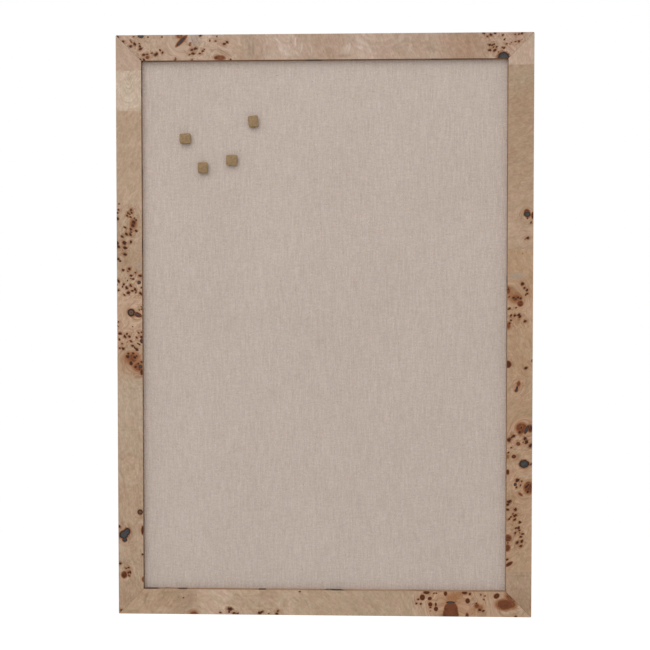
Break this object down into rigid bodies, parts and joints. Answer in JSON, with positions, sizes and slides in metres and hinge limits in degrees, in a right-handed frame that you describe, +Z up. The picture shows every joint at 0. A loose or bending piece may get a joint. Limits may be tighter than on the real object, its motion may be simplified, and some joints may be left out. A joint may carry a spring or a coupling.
{
  "type": "framed pinboard",
  "caption": "Upright wall pinboard: linen over cork in a mitred burl-veneered frame, with square-headed brass push pins and ring hangers on the back.",
  "frame": {"origin": "middle of the top rail's back face, which lies in the wall plane", "axes": "+Y into the wall behind the board, so the front faces -Y; +Z up; +X to the right seen from the front"},
  "size_m": [0.508, 0.0301, 0.711],
  "materials": {
    "frame_core": "sanded core",
    "burl_veneer": "satin lacquer over burl",
    "edge_veneer": "satin lacquer",
    "linen": "plain weave",
    "cork": "granulated cork",
    "backing": "hardboard",
    "steel": "bright steel",
    "hanger": "zinc plate",
    "bumper": "matte",
    "pin_brass": "antique brass"
  },
  "bodies": {
    "board": {"top_rail": "frame_core", "right_stile": "frame_core", "bottom_rail": "frame_core", "left_stile": "frame_core", "veneer_top_1": "burl_veneer", "veneer_top_2": "burl_veneer", "veneer_right_1": "burl_veneer", "veneer_right_2": "burl_veneer", "veneer_right_3": "burl_veneer", "veneer_right_4": "burl_veneer", "veneer_right_5": "burl_veneer", "veneer_bottom_1": "burl_veneer", "veneer_bottom_2": "burl_veneer", "veneer_bottom_3": "burl_veneer", "veneer_left_1": "burl_veneer", "veneer_left_2": "burl_veneer", "veneer_left_3": "burl_veneer", "outer_band_top": "edge_veneer", "outer_band_right": "edge_veneer", "outer_band_bottom": "edge_veneer", "outer_band_left": "edge_veneer", "inner_band_top": "edge_veneer", "inner_band_right": "edge_veneer", "inner_band_bottom": "edge_veneer", "inner_band_left": "edge_veneer", "linen_cover": "linen", "cork_sheet": "cork", "backing_board": "backing", "corner_nail_top_right_outer": "steel", "corner_nail_top_right_inner": "steel", "corner_nail_bottom_right_outer": "steel", "corner_nail_bottom_right_inner": "steel", "corner_nail_bottom_left_outer": "steel", "corner_nail_bottom_left_inner": "steel", "corner_nail_top_left_outer": "steel", "corner_nail_top_left_inner": "steel", "panel_point_top_1": "steel", "panel_point_top_2": "steel", "panel_point_right_1": "steel", "panel_point_right_2": "steel", "panel_point_bottom_1": "steel", "panel_point_bottom_2": "steel", "panel_point_left_1": "steel", "panel_point_left_2": "steel", "hanger_strap_left": "hanger", "hanger_strap_right": "hanger", "hanger_screw_left": "steel", "hanger_screw_right": "steel", "wall_bumper_left": "bumper", "wall_bumper_right": "bumper"},
    "pin_1": {"pin_head_1": "pin_brass", "pin_shank_1": "steel"},
    "pin_2": {"pin_head_2": "pin_brass", "pin_shank_2": "steel"},
    "pin_3": {"pin_head_3": "pin_brass", "pin_shank_3": "steel"},
    "pin_4": {"pin_head_4": "pin_brass", "pin_shank_4": "steel"},
    "ring_left": {"hanger_ring_left": "hanger"},
    "ring_right": {"hanger_ring_right": "hanger"}
  },
  "joints": [
    {"name": "pin_1_pull", "type": "slide", "parent": "board", "child": "pin_1", "axis": [0, -1, 0], "range_m": [0, 0.02]},
    {"name": "pin_2_pull", "type": "slide", "parent": "board", "child": "pin_2", "axis": [0, -1, 0], "range_m": [0, 0.02]},
    {"name": "pin_3_pull", "type": "slide", "parent": "board", "child": "pin_3", "axis": [0, -1, 0], "range_m": [0, 0.02]},
    {"name": "pin_4_pull", "type": "slide", "parent": "board", "child": "pin_4", "axis": [0, -1, 0], "range_m": [0, 0.02]},
    {"name": "ring_left_swing", "type": "hinge", "parent": "board", "child": "ring_left", "pos_m": [-0.2425, 0.0026, -0.1245], "axis": [1, 0, 0], "range_deg": [0, 178]},
    {"name": "ring_right_swing", "type": "hinge", "parent": "board", "child": "ring_right", "pos_m": [0.2425, 0.0026, -0.1245], "axis": [1, 0, 0], "range_deg": [0, 178]}
  ]
}
